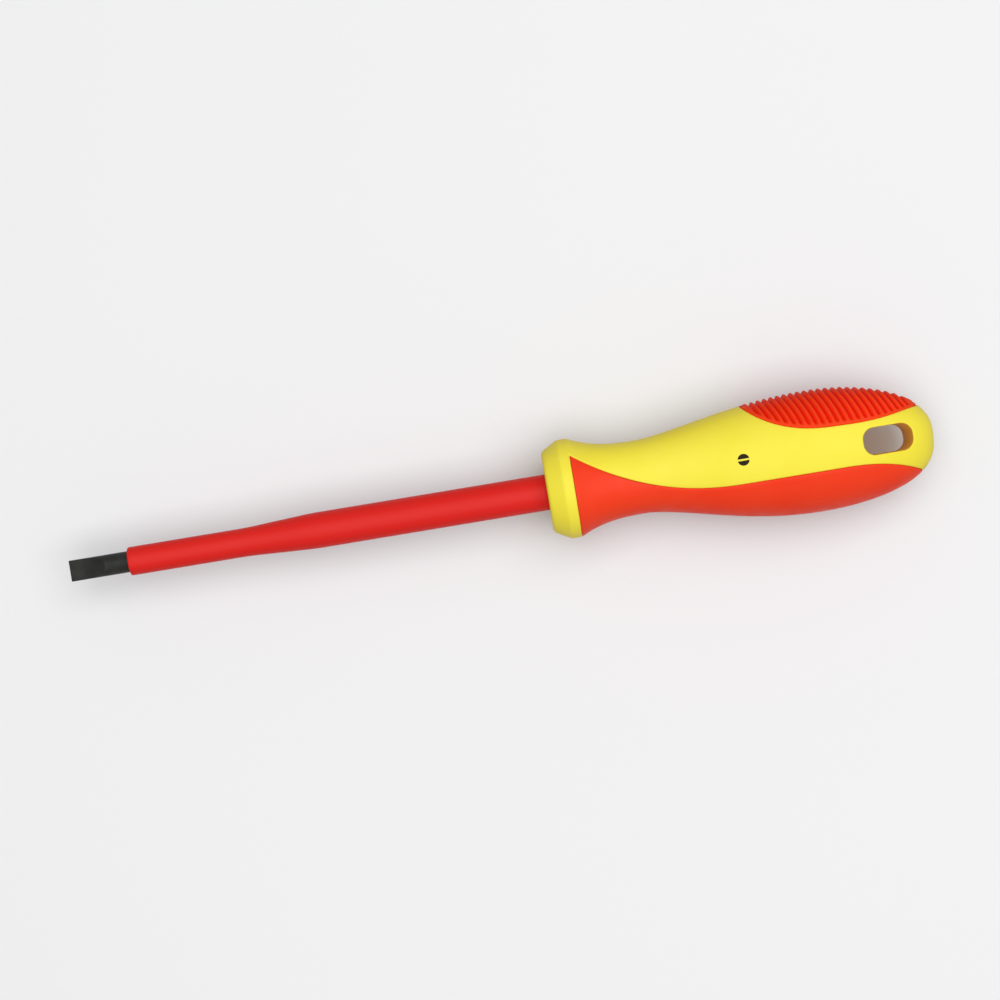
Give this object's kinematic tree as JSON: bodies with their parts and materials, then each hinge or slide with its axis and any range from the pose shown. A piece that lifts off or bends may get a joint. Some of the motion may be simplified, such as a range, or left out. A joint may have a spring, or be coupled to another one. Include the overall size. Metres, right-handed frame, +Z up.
{
  "type": "insulated screwdriver",
  "caption": "Insulated slotted screwdriver with a sleeved steel blade, a flared collar, a two-material handle with a ribbed thumb pad, and a hanging slot.",
  "frame": {"origin": "on the blade axis, in the plane of the collar's front face, where the straight stretch of the sleeve meets the handle", "axes": "+X along the blade axis towards the butt, so the tip is at -X; +Y towards the thumb pad; +Z along the hanging slot, so the driver lies on its flank with +Z up"},
  "size_m": [0.2253, 0.0315, 0.0284],
  "materials": {
    "blackened_steel": "black oxide, satin",
    "sleeve_plastic": "satin moulded",
    "hard_handle_plastic": "semi-gloss moulded",
    "soft_grip": "satin soft moulding",
    "soft_pad": "satin soft moulding, ribbed"
  },
  "bodies": {
    "root": {"blade": "blackened_steel", "sleeve": "sleeve_plastic", "handle_core": "hard_handle_plastic", "palm_grip": "soft_grip", "thumb_pad": "soft_pad"}
  },
  "joints": []
}
